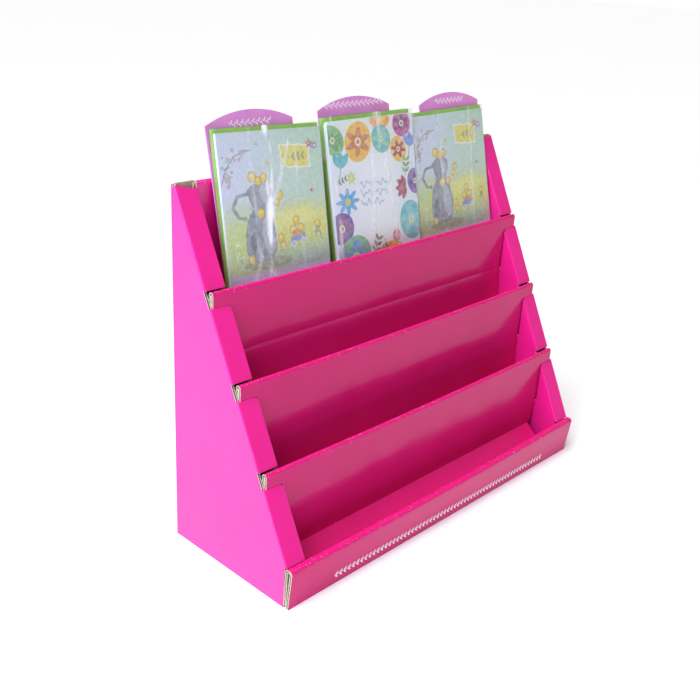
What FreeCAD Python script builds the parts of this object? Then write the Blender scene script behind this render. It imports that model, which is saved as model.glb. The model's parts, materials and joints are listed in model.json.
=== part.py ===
import FreeCAD, Part
import math
import os

os.makedirs("parts", exist_ok=True)

# A countertop display for greeting cards, folded from printed corrugated board, in millimetres.
# +X is to the right, +Y to the back and +Z up. The origin is on the counter, under the
# middle of the base. Two hollow side walls stand on the base. Each is an outer side, an
# inner side and a narrow strip that closes the slope at the front between them. Three
# tiers drop into notches in the walls, one behind the other, and make four pockets.

# Overall sizes. The width follows from the packs that stand side by side in a pocket.
DEPTH = 164.0
HEIGHT = 357.0

# Board and folds
BOARD = 2.8              # thickness of one sheet of corrugated board
PLY_GAP = 0.2            # air between two sheets folded flat together
FOLD_RADIUS = 1.5        # outside rounding of a crease
JOIN_GAP = 0.3           # clearance between pieces that come apart

# Side walls
STRIP_WIDTH = 23.2       # the strip across the front slope, and so the wall's thickness
SLOPE_FOOT = 2.8         # how far behind the base's front edge the slope starts
SLOPE_HEAD = 4.2         # flat left at the top of the slope
STRIP_TOP_DROP = 5.0     # the strip's top edge falls this much towards the pocket
STRIP_TOP_GAP = 1.0      # from the top of the wall to the strip's high corner

# Front lip
LIP_HEIGHT = 43.0
LIP_FLARE = 4.2          # how far the front sheet leans out at its top
LIP_TUCK = 1.2           # how far the back sheet leans the same way

# Tiers, from the lowest to the highest
TIER_RISES = (79.5, 73.0, 75.5)     # from the top edge below to this tier's top edge
SKIRT_LEANS = (0.0, 3.0, 7.0)       # degrees that the skirt is pushed forward
SKIRT_TAPERS = (10.0, 0.0, 0.0)     # how much each end of the skirt narrows downwards
EAR_HEIGHT = 14.5        # the ears rest on the strips
EAR_SET_BACK = 0.8       # from the strip's face to the ear's face at the ear's foot
EAR_END_GAP = 0.4        # from the ear's end to the outer side
FLAP_HEIGHT = 62.0       # height of the rolled-over back sheet, and depth of a pocket
SLOT_FRONT_GAP = 1.4     # from the tier's face to the front of its slot
SLOT_BACK_GAP = 0.4
SLOT_CORNER = 2.4        # rounding of the strip's corner beside the slot
SKIRT_GAP = 0.8          # from the skirt's end to the inner side
SHELF_ANGLE = 42.0       # degrees; each shelf falls towards the front of its pocket
SHELF_GAP = 0.5          # from the shelf's front edge to the wall before it

# Stock in the top pocket. For each pack, from left to right: how thick its cards and its
# envelopes are, and how far it has slumped sideways (degrees, clockwise)
CARD_WIDTH = 127.0
CARD_HEIGHT = 178.0
ENVELOPE_SIDE_MARGIN = 0.7   # the envelope reaches past the card at each side
ENVELOPE_TOP_MARGIN = 4.0
SLEEVE_FILM = 0.3
SLEEVE_EASE = 0.2        # air between the film and what it holds
PACK_SPACES = (11.7, 9.5, 3.0, 1.2)    # left of the first pack, between packs, right of the last
PACK_CARDS = (3.2, 4.4, 2.0)
PACK_ENVELOPES = (4.0, 5.2, 2.4)
PACK_SLUMPS = (2.0, 0.2, -0.4)
PACK_GAP = 0.6           # from a pack to the walls and the shelf around it

# Category tabs, one behind each pack
TAB_THICKNESS = 0.9
TAB_WIDTH = 104.0
TAB_SHIFTS = (-8.6, -10.5, 11.1)    # from the middle of its pack to the middle of the tab
TAB_SHOULDER = 189.5     # height of the straight sides
TAB_CROWN = 11.0         # rise of the arch above them

FRONT = -DEPTH / 2
BACK = DEPTH / 2
SLEEVE_SKIN = SLEEVE_FILM + SLEEVE_EASE
ENVELOPE_WIDTH = CARD_WIDTH + 2 * ENVELOPE_SIDE_MARGIN
ENVELOPE_HEIGHT = CARD_HEIGHT + ENVELOPE_TOP_MARGIN
PACK_WIDTH = ENVELOPE_WIDTH + 2 * SLEEVE_SKIN
INNER = (len(PACK_CARDS) * PACK_WIDTH + sum(PACK_SPACES)) / 2    # half the clear width of a pocket
HALF = INNER + STRIP_WIDTH
DOUBLE = 2 * BOARD + PLY_GAP
WALL_FRONT = FRONT + DOUBLE + 0.1        # front edge of the side panels, behind the lip
LINER_FACE = BACK - DOUBLE               # face of the pink liner in the top pocket
SLOPE = (DEPTH - SLOPE_HEAD - SLOPE_FOOT) / (HEIGHT - LIP_HEIGHT)
SKIN = BOARD * math.hypot(1, SLOPE)      # the strip's thickness, measured level
SHELF_SLOPE = math.tan(math.radians(SHELF_ANGLE))
SHELF_DROP = BOARD * math.hypot(1, SHELF_SLOPE)   # the shelf's thickness, measured upright


def vector(x, y, z):
    return FreeCAD.Vector(x, y, z)


def prism(outline, x0, x1):
    """A solid with this outline, a list of (y, z), from x0 to x1."""
    wire = Part.makePolygon([vector(x0, y, z) for y, z in outline + outline[:1]])
    return Part.Face(wire).extrude(vector(x1 - x0, 0, 0))


def block(x0, x1, y0, y1, z0, z1):
    return Part.makeBox(x1 - x0, y1 - y0, z1 - z0, vector(x0, y0, z0))


def round_edges(solid, radius, wanted):
    """Round the edges for which wanted(edge's middle, edge's direction) is true."""
    chosen = []
    for edge in solid.Edges:
        first, last = edge.Vertexes[0].Point, edge.Vertexes[-1].Point
        if wanted((first + last) * 0.5, last - first):
            chosen.append(edge)
    return solid.makeFillet(radius, chosen)


def mirrored(solid):
    return solid.mirror(vector(0, 0, 0), vector(1, 0, 0))


def save(node, solid):
    if len(solid.Solids) != 1 or not solid.isValid():
        raise ValueError(f"{node} is not one sound solid")
    solid.Solids[0].exportStep(f"parts/{node}.step")
    box = solid.BoundBox
    print(f"{node:26s} {box.XLength:7.1f} {box.YLength:7.1f} {box.ZLength:7.1f}")


def slope_y(z):
    """Where the front face of the slope is at this height."""
    return FRONT + SLOPE_FOOT + (z - LIP_HEIGHT) * SLOPE


# Heights and places of the tiers. Each tier is described by a dictionary.

def tier_places():
    tiers = []
    top = LIP_HEIGHT
    wall_back = FRONT + DOUBLE           # back of whatever stands before this tier
    for number, rise in enumerate(TIER_RISES):
        shelf_foot = top - FLAP_HEIGHT if tiers else BOARD + JOIN_GAP + SHELF_DROP
        top += rise
        face = slope_y(top - EAR_HEIGHT) + EAR_SET_BACK
        jog = top - FLAP_HEIGHT
        lean = math.tan(math.radians(SKIRT_LEANS[number]))
        foot_y = wall_back + SHELF_GAP
        reach = (face - foot_y - lean * (jog - shelf_foot)) / (1 - lean * SHELF_SLOPE)
        tiers.append({
            "top": top, "face": face, "jog": jog, "ear": top - EAR_HEIGHT,
            "foot_y": foot_y, "foot_z": shelf_foot, "lean": lean, "taper": SKIRT_TAPERS[number],
            "crease_y": foot_y + reach, "crease_z": shelf_foot + reach * SHELF_SLOPE,
        })
        wall_back = face + DOUBLE
    return tiers


TIERS = tier_places()


# Base and back

def base_panel():
    return block(-HALF + BOARD, HALF - BOARD, FRONT + BOARD, BACK - BOARD, 0, BOARD)


def back_panel():
    panel = block(-HALF + BOARD, HALF - BOARD, BACK - BOARD, BACK, 0, HEIGHT)
    return panel.cut(block(-INNER, INNER, BACK - BOARD, BACK, HEIGHT - BOARD, HEIGHT))


def back_top_fold():
    """The roll at the top of the back, between the inner sides."""
    fold = block(-INNER, INNER, LINER_FACE, BACK, HEIGHT - BOARD, HEIGHT)
    return round_edges(fold, FOLD_RADIUS, lambda mid, way: abs(way.x) > INNER and mid.z > HEIGHT - 1)


def top_shelf_foot():
    tier = TIERS[-1]
    return tier["face"] + DOUBLE + SHELF_GAP, tier["top"] - FLAP_HEIGHT


def top_shelf_height(y):
    """Height of the top pocket's shelf at this depth."""
    foot_y, foot_z = top_shelf_foot()
    return foot_z + (y - foot_y) * SHELF_SLOPE


def back_liner():
    reach = INNER - PLY_GAP
    return block(-reach, reach, LINER_FACE, LINER_FACE + BOARD, top_shelf_height(LINER_FACE), HEIGHT - BOARD)


def shelf(foot_y, foot_z, crease_y, lean, half_width):
    """A sloping shelf that meets the wall behind it, which leans forward going down."""
    crease_z = foot_z + (crease_y - foot_y) * SHELF_SLOPE
    outline = [(foot_y, foot_z), (crease_y, crease_z),
               (crease_y - lean * SHELF_DROP, crease_z - SHELF_DROP), (foot_y, foot_z - SHELF_DROP)]
    return prism(outline, -half_width, half_width)


def top_shelf():
    foot_y, foot_z = top_shelf_foot()
    return shelf(foot_y, foot_z, LINER_FACE, 0, INNER - PLY_GAP)


# Front lip: a front sheet, a roll and a back sheet

def leaning_sheet(y, lean, z0, z1):
    """A sheet across the whole front whose front face starts at y on the counter."""
    low = y - lean * z0 / LIP_HEIGHT
    high = y - lean * z1 / LIP_HEIGHT
    return prism([(low, z0), (high, z1), (high + BOARD, z1), (low + BOARD, z0)], -HALF, HALF)


def lip_front():
    return leaning_sheet(FRONT, LIP_FLARE, 0, LIP_HEIGHT - BOARD)


def lip_back():
    return leaning_sheet(FRONT + BOARD + PLY_GAP, LIP_TUCK, BOARD, LIP_HEIGHT - BOARD)


def lip_top_fold():
    fold = block(-HALF, HALF, FRONT - LIP_FLARE, FRONT + DOUBLE - LIP_TUCK, LIP_HEIGHT - BOARD, LIP_HEIGHT)
    return round_edges(fold, FOLD_RADIUS, lambda mid, way: abs(way.x) > HALF and mid.z > LIP_HEIGHT - 1)


# Left side wall; the right one is its mirror image

def outer_side():
    outline = [(BACK, 0), (BACK, HEIGHT), (slope_y(HEIGHT) + SKIN, HEIGHT),
               (slope_y(LIP_HEIGHT) + SKIN, LIP_HEIGHT), (WALL_FRONT, LIP_HEIGHT), (WALL_FRONT, 0)]
    return prism(outline, -HALF, -HALF + BOARD)


def tab_slot(tier):
    """The space that a tier's tab needs at the inner side."""
    x0 = -INNER - BOARD - JOIN_GAP
    return block(x0, -INNER + 1, tier["face"] - SLOT_FRONT_GAP, tier["face"] + DOUBLE + SLOT_BACK_GAP,
                 tier["jog"], tier["top"] + BOARD)


def inner_side():
    strip_end = HEIGHT - STRIP_TOP_GAP - STRIP_TOP_DROP
    outline = [(BACK - BOARD, BOARD), (BACK - BOARD, HEIGHT - STRIP_TOP_GAP),
               (LINER_FACE, HEIGHT - STRIP_TOP_GAP), (slope_y(strip_end) + SKIN, strip_end),
               (slope_y(LIP_HEIGHT) + SKIN, LIP_HEIGHT), (WALL_FRONT, LIP_HEIGHT), (WALL_FRONT, BOARD)]
    panel = prism(outline, -INNER - BOARD, -INNER)
    for tier in TIERS:
        panel = panel.cut(tab_slot(tier))
        # above the slot, the notch for the ear leaves nothing before the tier's back face
        panel = panel.cut(block(-INNER - BOARD - 1, -INNER + 1, FRONT,
                                tier["face"] + DOUBLE + SLOT_BACK_GAP, tier["ear"], tier["top"] + JOIN_GAP))
    return panel


def strip(number):
    """One length of the front strip. Number 0 is the lowest, above the lip."""
    low = TIERS[number - 1]["top"] + JOIN_GAP if number else LIP_HEIGHT + JOIN_GAP
    high = TIERS[number]["ear"] if number < len(TIERS) else HEIGHT - STRIP_TOP_GAP
    outline = [(slope_y(low), low), (slope_y(high), high),
               (slope_y(high) + SKIN, high), (slope_y(low) + SKIN, low)]
    piece = prism(outline, -HALF, -INNER)
    piece = round_edges(piece, FOLD_RADIUS, lambda mid, way: abs(way.x) < 1e-6 and way.Length > BOARD * 2
                        and mid.y < slope_y(mid.z) + SKIN / 2)
    if number < len(TIERS):
        piece = piece.cut(tab_slot(TIERS[number]))
        corner = -INNER - BOARD - JOIN_GAP
        piece = round_edges(piece, SLOT_CORNER, lambda mid, way: abs(way.x) < 1e-6 and abs(way.z) < 1e-6
                            and abs(mid.x - corner) < 0.01 and mid.z > high - 0.01)
    else:
        low = high - STRIP_TOP_DROP
        wedge = [vector(-HALF, FRONT, high), vector(-INNER, FRONT, high), vector(-INNER, FRONT, low),
                 vector(-INNER - BOARD, FRONT, low), vector(-HALF, FRONT, high)]
        piece = piece.cut(Part.Face(Part.makePolygon(wedge)).extrude(vector(0, DEPTH, 0)))
        piece = piece.cut(block(-HALF - 1, -INNER + 1, BACK - BOARD, BACK + BOARD, low, HEIGHT))
    return piece


# Tiers: a front sheet with a skirt, a roll, a flap behind, and a shelf

def tier_sheet(tier, y, z0, z1):
    """The part of a tier's sheet between the jog and the top: ears above, tabs below."""
    ear_half = HALF - BOARD - EAR_END_GAP
    tab_half = INNER + BOARD
    ears = block(-ear_half, ear_half, y, y + BOARD, tier["ear"], z1)
    return ears.fuse(block(-tab_half, tab_half, y, y + BOARD, z0, tier["ear"])).removeSplitter()


def tier_skirt(tier):
    face, jog = tier["face"], tier["jog"]
    low = tier["crease_z"] - SHELF_DROP
    low_y = face - tier["lean"] * (jog - low)
    half = INNER - SKIRT_GAP
    outline = [(face, jog + JOIN_GAP), (face, jog), (low_y, low), (low_y + BOARD, low),
               (face + BOARD, jog), (face + BOARD, jog + JOIN_GAP)]
    skirt = prism(outline, -half, half)
    for side in (-1, 1):
        if tier["taper"]:
            corner = [vector(side * half, FRONT, jog), vector(side * (half + 1), FRONT, jog),
                      vector(side * (half + 1), FRONT, low), vector(side * (half - tier["taper"]), FRONT, low),
                      vector(side * half, FRONT, jog)]
            skirt = skirt.cut(Part.Face(Part.makePolygon(corner)).extrude(vector(0, DEPTH, 0)))
    return skirt


def tier_front(tier):
    sheet = tier_sheet(tier, tier["face"], tier["jog"] + JOIN_GAP, tier["top"] - BOARD)
    return sheet.fuse(tier_skirt(tier)).removeSplitter()


def tier_flap(tier):
    return tier_sheet(tier, tier["face"] + BOARD + PLY_GAP, tier["jog"] + JOIN_GAP, tier["top"] - BOARD)


def tier_top_fold(tier):
    ear_half = HALF - BOARD - EAR_END_GAP
    fold = block(-ear_half, ear_half, tier["face"], tier["face"] + DOUBLE, tier["top"] - BOARD, tier["top"])
    return round_edges(fold, FOLD_RADIUS, lambda mid, way: abs(way.x) > ear_half and mid.z > tier["top"] - 1)


def tier_shelf(tier):
    half = INNER - SKIRT_GAP - tier["taper"]
    return shelf(tier["foot_y"], tier["foot_z"], tier["crease_y"], tier["lean"], half)


# Stock: a pack leans from the top tier's back to the top edge of the back wall

def lean_angle(gap, rise, length, thickness):
    """Lean of a slab that stands on the far side of a gap: against an edge at this rise,
    or against the wall's face if the slab is too short to reach the edge."""
    edge = math.acos(thickness / math.hypot(gap, rise)) - math.atan2(rise, gap)
    if length * math.cos(edge) > rise:
        return edge
    return math.asin(gap / math.hypot(thickness, length)) - math.atan2(thickness, length)


def pack_places():
    packs = []
    start = TIERS[-1]["face"] + DOUBLE + PACK_GAP
    left = -INNER
    for space, cards, envelopes, slump in zip(PACK_SPACES, PACK_CARDS, PACK_ENVELOPES, PACK_SLUMPS):
        left += space
        thickness = cards + envelopes + 2 * SLEEVE_SKIN
        total = thickness + PACK_GAP + TAB_THICKNESS + PACK_GAP
        lean = 0
        for _ in range(6):   # the lean lowers the back of the pack's foot, which changes the lean
            drop = thickness * math.sin(lean)
            foot = top_shelf_height(start + thickness * math.cos(lean)) + drop + PACK_GAP
            lean = lean_angle(LINER_FACE - start, HEIGHT - foot, TAB_SHOULDER + TAB_CROWN, total)
        packs.append({"centre": left + PACK_WIDTH / 2, "cards": cards, "envelopes": envelopes,
                      "slump": slump, "thickness": thickness, "lean": lean, "y": start, "z": foot})
        left += PACK_WIDTH
    return packs


PACKS = pack_places()


def place_leaning(solid, pack, x, slump):
    """Move a solid made upright, with the middle of its front foot at the origin, into the
    pocket. A slumped solid stands on its lower corner."""
    if slump:
        solid.rotate(vector(0, 0, 0), vector(0, 1, 0), slump)
        solid.translate(vector(0, 0, ENVELOPE_WIDTH / 2 * abs(math.sin(math.radians(slump)))))
    solid.rotate(vector(0, 0, 0), vector(1, 0, 0), -math.degrees(pack["lean"]))
    solid.translate(vector(x, pack["y"], pack["z"]))
    return solid


def pack_pieces(pack):
    skin = SLEEVE_SKIN
    cards_back = skin + pack["cards"]
    cards = block(-CARD_WIDTH / 2, CARD_WIDTH / 2, skin, cards_back, skin, skin + CARD_HEIGHT)
    envelopes = block(-ENVELOPE_WIDTH / 2, ENVELOPE_WIDTH / 2, cards_back, cards_back + pack["envelopes"],
                      skin, skin + ENVELOPE_HEIGHT)
    half = PACK_WIDTH / 2
    tall = ENVELOPE_HEIGHT + 2 * skin
    sleeve = block(-half, half, 0, pack["thickness"], 0, tall)
    hollow = block(-half + SLEEVE_FILM, half - SLEEVE_FILM, SLEEVE_FILM, pack["thickness"] - SLEEVE_FILM,
                   SLEEVE_FILM, tall - SLEEVE_FILM)
    return {"cards": cards, "envelopes": envelopes, "sleeve": sleeve.cut(hollow)}


def category_tab(pack, centre):
    """An upright card with an arched top, just behind its pack."""
    half = TAB_WIDTH / 2
    y = pack["thickness"] + PACK_GAP
    foot = (PACK_GAP + TAB_THICKNESS) * math.tan(math.radians(SHELF_ANGLE) + pack["lean"])
    left, right = vector(-half, y, TAB_SHOULDER), vector(half, y, TAB_SHOULDER)
    arch = Part.Arc(left, vector(0, y, TAB_SHOULDER + TAB_CROWN), right).toShape()
    sides = Part.makePolygon([right, vector(half, y, foot), vector(-half, y, foot), left])
    face = Part.Face(Part.Wire([arch] + sides.Edges))
    return place_leaning(face.extrude(vector(0, TAB_THICKNESS, 0)), pack, centre, 0)


def build():
    save("base_panel", base_panel())
    save("back_panel", back_panel())
    save("back_top_fold", back_top_fold())
    save("back_liner", back_liner())
    save("top_shelf", top_shelf())
    save("lip_front", lip_front())
    save("lip_top_fold", lip_top_fold())
    save("lip_back", lip_back())
    walls = {"outer_side": outer_side(), "inner_side": inner_side()}
    for number in range(len(TIERS) + 1):
        walls[f"strip_{number + 1}"] = strip(number)
    for name, solid in walls.items():
        save(f"left_{name}", solid)
        save(f"right_{name}", mirrored(solid))
    for number, tier in enumerate(TIERS, 1):
        save(f"tier_{number}_front", tier_front(tier))
        save(f"tier_{number}_top_fold", tier_top_fold(tier))
        save(f"tier_{number}_flap", tier_flap(tier))
        save(f"tier_{number}_shelf", tier_shelf(tier))
    for number, (pack, tab_shift) in enumerate(zip(PACKS, TAB_SHIFTS), 1):
        for name, solid in pack_pieces(pack).items():
            save(f"pack_{number}_{name}", place_leaning(solid, pack, pack["centre"], pack["slump"]))
        save(f"tab_{number}", category_tab(pack, pack["centre"] + tab_shift))
        print(f"pack {number} leans {math.degrees(pack['lean']):.2f} degrees, foot at z {pack['z']:.1f}")


build()
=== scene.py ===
# %% [markdown]
# # A countertop display for greeting cards
# The display is folded from corrugated board with a glossy pink print. Four stepped pockets
# run across it, and the top one holds three wrapped packs of cards with a category tab
# behind each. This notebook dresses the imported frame: it gives each panel its paper layers,
# prints and wraps the cards, and lights them like a catalogue picture.

# %% Load the frame
import json
import math
import random

import bmesh
import bpy
from mathutils import Matrix, Vector, noise
from mathutils.geometry import tessellate_polygon


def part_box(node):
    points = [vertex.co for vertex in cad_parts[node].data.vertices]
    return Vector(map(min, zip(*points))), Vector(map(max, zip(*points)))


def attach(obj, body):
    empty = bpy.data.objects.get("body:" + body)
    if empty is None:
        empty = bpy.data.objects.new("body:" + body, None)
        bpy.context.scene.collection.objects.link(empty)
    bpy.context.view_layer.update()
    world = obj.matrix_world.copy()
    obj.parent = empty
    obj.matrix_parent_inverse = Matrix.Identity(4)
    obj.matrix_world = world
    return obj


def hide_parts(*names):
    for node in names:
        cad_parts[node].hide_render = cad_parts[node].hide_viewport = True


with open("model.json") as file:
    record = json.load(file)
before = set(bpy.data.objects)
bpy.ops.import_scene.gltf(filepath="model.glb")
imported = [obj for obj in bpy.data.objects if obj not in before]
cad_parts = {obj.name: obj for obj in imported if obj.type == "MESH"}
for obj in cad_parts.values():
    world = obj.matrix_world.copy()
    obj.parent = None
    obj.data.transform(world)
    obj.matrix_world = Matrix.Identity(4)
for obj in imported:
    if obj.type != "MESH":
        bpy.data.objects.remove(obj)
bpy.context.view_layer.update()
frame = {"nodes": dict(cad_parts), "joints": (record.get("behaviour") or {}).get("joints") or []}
MM = 0.001

# %% [markdown]
# ## Sizes
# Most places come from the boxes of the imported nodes. A few sizes of the board itself can't
# be read from a box, so they are named here. The board is B flute: two flat liners with a
# wavy paper between them, about 2.8 mm thick, with a wave every 6.5 mm.

# %% Sizes of the board and places from the frame
LINER = 0.5 * MM          # one flat paper, drawn a little thick so that it shows
FLUTE_PITCH = 6.5 * MM
FLUTE_PAPER = 0.35 * MM
RAW_RECESS = 1.3 * MM     # how deep one can look into a cut edge
EAR_HEIGHT = 14.5 * MM
SHELF_SLOPE = math.tan(math.radians(42))

low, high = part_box("left_outer_side")
HALF = -low.x
BOARD = high.x - low.x
BACK = high.y
HEIGHT = high.z
low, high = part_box("left_inner_side")
INNER = -high.x
low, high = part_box("lip_top_fold")
LIP_TOP = high.z
LIP_FACE, LIP_BACK = low.y, high.y
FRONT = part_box("lip_front")[1].y - BOARD
print("half width", round(HALF, 4), "inner", round(INNER, 4), "board", round(BOARD, 4))

# %% [markdown]
# ## Building materials with nodes
# Every finish below is a small node tree. Writing them by hand gets long, so one helper adds
# a node, sets its properties and inputs, and makes its links. Colours are written as the hex
# codes a printer would use, and one function turns them to the linear values that light needs.

# %% Helpers for colours and nodes
def linear(code):
    """A hex colour such as F1279B as linear red, green, blue and alpha."""
    parts = [int(code[i:i + 2], 16) / 255 for i in (0, 2, 4)]
    return tuple(c / 12.92 if c <= 0.04045 else ((c + 0.055) / 1.055) ** 2.4 for c in parts) + (1.0,)


def add(tree, kind, inputs=None, **settings):
    """Add a node. Each input is a value, or the output socket that it is linked to."""
    made = tree.nodes.new(kind)
    for key, value in settings.items():
        setattr(made, key, value)
    for key, value in (inputs or {}).items():
        if isinstance(value, bpy.types.NodeSocket):
            tree.links.new(value, made.inputs[key])
        else:
            made.inputs[key].default_value = value
    return made


def new_material(name):
    """An empty node tree, and the object coordinates in metres."""
    material = bpy.data.materials.new(name)
    material.use_nodes = True
    tree = material.node_tree
    tree.nodes.clear()
    place = add(tree, "ShaderNodeTexCoord").outputs["Object"]
    return material, tree, place


def finish_material(tree, shader):
    add(tree, "ShaderNodeOutputMaterial", {"Surface": shader})


def finish_solid(tree, colour, roughness, more=None):
    """End the material with one principled shader. More of its inputs come as a dictionary."""
    inputs = {"Base Color": colour, "Roughness": roughness, **(more or {})}
    finish_material(tree, add(tree, "ShaderNodeBsdfPrincipled", inputs).outputs[0])


def maths(tree, operation, *values):
    """A Math node on numbers or sockets."""
    return add(tree, "ShaderNodeMath", dict(enumerate(values)), operation=operation).outputs[0]


def vector_maths(tree, operation, *values):
    """A Vector Math node on vectors or sockets."""
    made = add(tree, "ShaderNodeVectorMath", dict(enumerate(values)), operation=operation)
    return made.outputs["Value" if operation in ("DOT_PRODUCT", "LENGTH") else "Vector"]


def bumped(tree, height, strength, distance):
    """Normals that follow a height, of which 1 stands for the distance."""
    inputs = {"Height": height, "Strength": strength, "Distance": distance}
    return add(tree, "ShaderNodeBump", inputs).outputs[0]


def blend_shaders(tree, share, first, second):
    return add(tree, "ShaderNodeMixShader", {0: share, 1: first.outputs[0], 2: second.outputs[0]})


def blend_colours(tree, share, first, second):
    """Mix two colours, each a hex code or a socket."""
    mix = add(tree, "ShaderNodeMix", {0: share}, data_type="RGBA")
    for index, colour in ((6, first), (7, second)):
        if isinstance(colour, str):
            mix.inputs[index].default_value = linear(colour)
        else:
            tree.links.new(colour, mix.inputs[index])
    return mix.outputs[2]


def speckle(tree, place, size, detail=2.0, stretch=(1, 1, 1)):
    """Noise whose blotches are about this size in metres."""
    stretched = add(tree, "ShaderNodeMapping", {"Vector": place, "Scale": stretch}).outputs[0]
    inputs = {"Vector": stretched, "Scale": 1 / size, "Detail": detail}
    return add(tree, "ShaderNodeTexNoise", inputs).outputs["Fac"]


def spread(tree, value, start, end, low_value=0.0, high_value=1.0):
    """Map a range of values to another, clamped."""
    inputs = {"Value": value, "From Min": start, "From Max": end,
              "To Min": low_value, "To Max": high_value}
    return add(tree, "ShaderNodeMapRange", inputs).outputs[0]


print("pink", [round(c, 3) for c in linear("F1279B")])

# %% [markdown]
# ## Printed board
# The pink face is litho print laminated under a gloss film, then glued to the fluting. Three
# things make it read as board and not as plastic: the flutes telegraph through as faint even
# ridges, the whole panel waves slowly, and the film is cracked to pale fibre along the folds.
# The ridges are a sine wave with the real flute spacing, used as bump. Upright panels have
# upright flutes and the tiers have level ones, so the material is made once for each way. The
# level copy, on the tiers and the lip, has a duller film and a deeper pink; the deeper pink is
# painted shade for these front faces.

# %% Printed board
FIBRE = "F6DDE6"
RIDGES, WARP, PEEL = 0.012, 2.2, 0.05     # heights of the ridges, the panel's waves and the film
CRACKED = 0.35                            # how much fibre shows in a crack


def printed_board(name, direction, sheen, deep, bright):
    """Glossy pink board. The flutes lie across this direction in object space."""
    material, tree, place = new_material(name)
    along = vector_maths(tree, "DOT_PRODUCT", place, direction)
    ridge = maths(tree, "SINE", maths(tree, "MULTIPLY", along, 2 * math.pi / FLUTE_PITCH))
    height = 0.0
    for layer, rise in ((ridge, RIDGES), (speckle(tree, place, 60 * MM, 1.0), WARP),
                        (speckle(tree, place, 6 * MM, 2.0), PEEL)):
        height = maths(tree, "MULTIPLY_ADD", layer, rise, height)
    pink = blend_colours(tree, speckle(tree, place, 35 * MM, 3.0), deep, bright)
    fold = add(tree, "ShaderNodeAttribute", attribute_name="fold").outputs["Fac"]
    cracks = spread(tree, speckle(tree, place, 1.6 * MM, 3.0), 0.64, 0.70)
    worn = maths(tree, "MULTIPLY", maths(tree, "MULTIPLY", cracks, fold), CRACKED)
    gloss = spread(tree, speckle(tree, place, 20 * MM, 2.0), 0.3, 0.7, 0.13, 0.2)
    finish_solid(tree, blend_colours(tree, worn, pink, FIBRE), gloss,
                 {"Specular IOR Level": sheen, "Normal": bumped(tree, height, 0.6, 1 * MM)})
    return material


upright_print = printed_board("printed_board_upright_flutes", (1, 1, 0), 0.55, "DE1C80", "EA218B")
# painted shade: this copy for the tiers and the lip has a deeper pink than the upright one
level_print_painted_shade = printed_board("printed_board_level_flutes_painted_shade", (0, 0.6, 1), 0.2, "CC1868", "D61B70")

# %% [markdown]
# ## Raw board
# Inside, the board shows its unprinted liner: recycled kraft, a grey olive brown with darker
# and lighter fibres. A cut edge shows the pale ends of the liners. Both are quite matt. The
# fibres are noise stretched to about 3 mm long and a fifth as wide.

# %% Raw liner, cut edge and fluting paper
def raw_paper(name, base, dark, light):
    """Unprinted paper with fibres and specks."""
    material, tree, place = new_material(name)
    fibres = speckle(tree, place, 3 * MM, 4.0, (1, 5, 1))
    colour = blend_colours(tree, spread(tree, fibres, 0.35, 0.65), dark, base)
    specks = spread(tree, speckle(tree, place, 0.9 * MM, 2.0), 0.62, 0.7)
    colour = blend_colours(tree, specks, colour, light)
    finish_solid(tree, colour, 0.85, {"Normal": bumped(tree, fibres, 0.3, 0.2 * MM)})
    return material


raw_liner = raw_paper("kraft_liner", "A89F80", "8E8769", "C2BA9C")
cut_edge = raw_paper("cut_edge_of_board", "E9E0C6", "CFC4A4", "F6F0DE")
flute_paper = raw_paper("fluting_paper", "B3A583", "93866A", "CDC2A2")
board_finishes = (upright_print, level_print_painted_shade, raw_liner, cut_edge, flute_paper)
print("board finishes", [material.name for material in board_finishes])

# %% [markdown]
# ## Sheets of board
# A real sheet is three layers. Here each layer is its own thin slab in one mesh: a printed
# liner, a core that stops a little short of the cut edges, and an inside liner. The recess
# between the liners is where the fluting is laid afterwards.
#
# The tiers, the lip and the back are one sheet each, rolled over at the top. Such a sheet is
# swept: a profile in the side view, with a half width at each of its points.

# %% Sweep a folded sheet
COLUMNS = 28
# the three layers of a sheet: where each starts and ends in the depth, and how far it stops short
LAYERS = ((0, LINER, 0), (LINER, BOARD - LINER, RAW_RECESS), (BOARD - LINER, BOARD, 0))


def put_in_scene(name, data):
    made = bpy.data.objects.new(name, data)
    bpy.context.scene.collection.objects.link(made)
    return made


def make_object(name, mesh, body, materials):
    piece = put_in_scene(name, mesh)
    for material in materials:
        mesh.materials.append(material)
    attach(piece, body)
    return piece


def mesh_of(bm, name):
    """The finished mesh of a shape that was built up face by face."""
    mesh = bpy.data.meshes.new(name)
    bm.to_mesh(mesh)
    bm.free()
    return mesh


def arc(centre, radius, start, end, steps):
    """Points of an arc in the side view, from one angle to another in degrees."""
    points = []
    for i in range(steps + 1):
        angle = math.radians(start + (end - start) * i / steps)
        points.append((centre[0] + radius * math.cos(angle), centre[1] + radius * math.sin(angle)))
    return points


def profile_normals(points):
    """Normals on the right of a line of (y, z) points, mitred at its corners."""
    normals = []
    for i, point in enumerate(points):
        before = Vector(points[max(i - 1, 0)][:2])
        after = Vector(points[min(i + 1, len(points) - 1)][:2])
        here = Vector(point[:2])
        sides = []
        for way in (here - before, after - here):
            if way.length > 1e-7:
                way.normalize()
                sides.append(Vector((way.y, -way.x)))
        middle = sum(sides, Vector((0, 0))) / len(sides)
        normals.append(middle / max(middle.length_squared, 0.3))
    return normals


def finer(stations, longest=12 * MM):
    """The same stations, with more on the long runs so that they can bend."""
    result = [stations[0]]
    for before, after in zip(stations, stations[1:]):
        steps = max(1, math.ceil((Vector(after[:2]) - Vector(before[:2])).length / longest))
        for i in range(1, steps):
            y, z, half, _ = (a + (b - a) * i / steps for a, b in zip(before, after))
            result.append((y, z, half, 0))
        result.append(after)
    return result


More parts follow.
